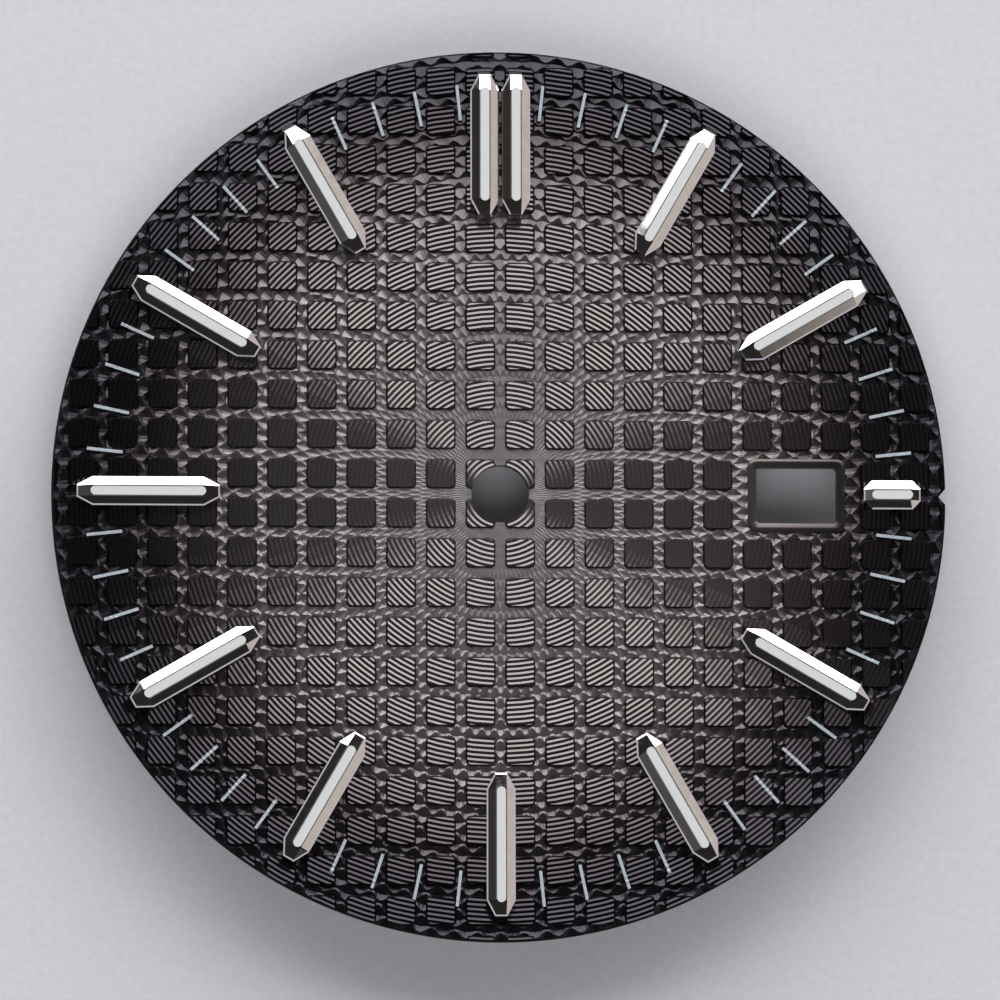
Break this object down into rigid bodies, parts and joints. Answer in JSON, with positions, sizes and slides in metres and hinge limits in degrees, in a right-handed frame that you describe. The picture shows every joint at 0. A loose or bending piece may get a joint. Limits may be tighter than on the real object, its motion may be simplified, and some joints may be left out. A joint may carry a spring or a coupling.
{
  "type": "watch dial",
  "caption": "Round smoked-grey watch dial with a waffle of raised square tiles, applied faceted hour markers, printed minute ticks, a centre hole, a date window and dial feet on the back.",
  "frame": {"origin": "on the axis of the centre hole, at the plate's back face", "axes": "+Z leaves the front of the dial, +Y points to twelve o'clock, +X to three o'clock and the date window"},
  "size_m": [0.031, 0.031, 0.0029],
  "materials": {
    "dial_finish": "stamped brass plate, dark metallic finish under clear lacquer, smoked from warm grey at the centre to black at the rim",
    "marker_metal": "diamond-cut and mirror-polished, nickel plated",
    "marker_inlay": "pale grey-green luminous compound, satin",
    "printed_ink": "pad-printed white ink with a cool cast",
    "foot_copper": "drawn copper wire, dull"
  },
  "bodies": {
    "root": {"dial_plate": "dial_finish", "minute_track": "printed_ink", "index_12_left": "marker_metal", "lume_12_left": "marker_inlay", "index_12_right": "marker_metal", "lume_12_right": "marker_inlay", "index_01": "marker_metal", "lume_01": "marker_inlay", "index_02": "marker_metal", "lume_02": "marker_inlay", "index_03": "marker_metal", "lume_03": "marker_inlay", "index_04": "marker_metal", "lume_04": "marker_inlay", "index_05": "marker_metal", "lume_05": "marker_inlay", "index_06": "marker_metal", "lume_06": "marker_inlay", "index_07": "marker_metal", "lume_07": "marker_inlay", "index_08": "marker_metal", "lume_08": "marker_inlay", "index_09": "marker_metal", "lume_09": "marker_inlay", "index_10": "marker_metal", "lume_10": "marker_inlay", "index_11": "marker_metal", "lume_11": "marker_inlay", "dial_foot_upper": "foot_copper", "dial_foot_lower": "foot_copper"}
  },
  "joints": []
}
